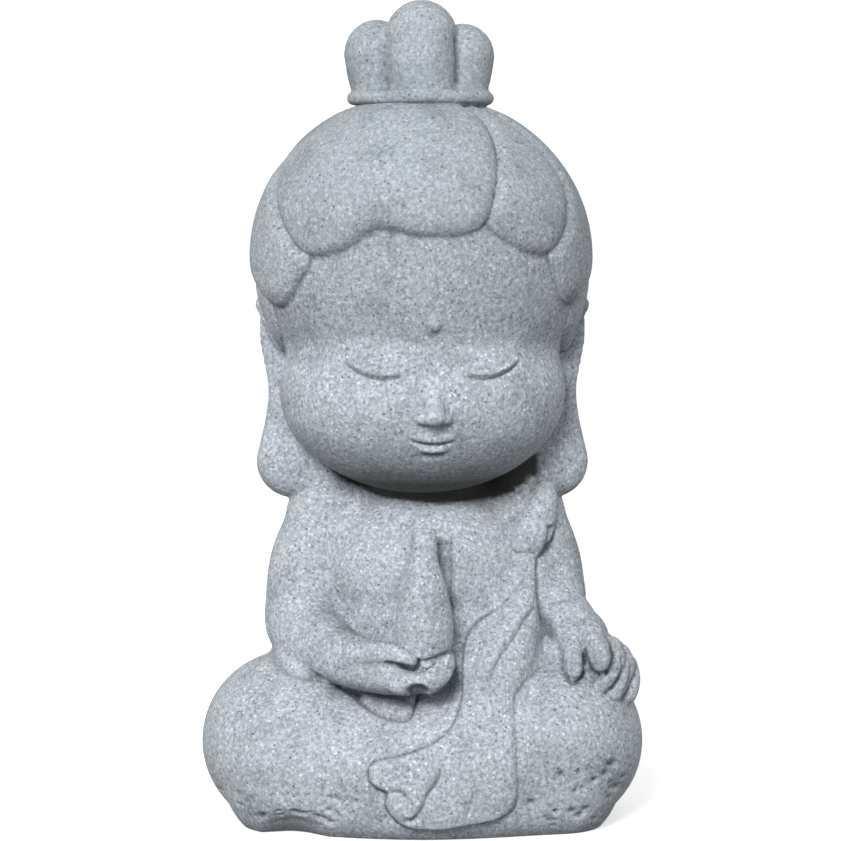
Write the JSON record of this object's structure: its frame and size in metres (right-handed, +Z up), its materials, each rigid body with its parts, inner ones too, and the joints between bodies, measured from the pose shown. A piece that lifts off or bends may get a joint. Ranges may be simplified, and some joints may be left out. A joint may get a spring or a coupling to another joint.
{
  "type": "stone buddha figurine",
  "caption": "Seated child buddha figurine cast in stone: topknot, long ears, closed eyes, a small vase in one hand, a sash over the lap and a flat underside.",
  "frame": {"origin": "on the flat underside, below the middle of the knees, near the middle of the figure's depth", "axes": "+Z up; the figure faces -Y; +X towards its left hand"},
  "size_m": [0.1633, 0.1212, 0.3004],
  "materials": {
    "stone": "rough grey cast stone with light and dark grit, weathered darker on the brow and under the topknot"
  },
  "bodies": {
    "root": {"figurine": "stone"}
  },
  "joints": []
}
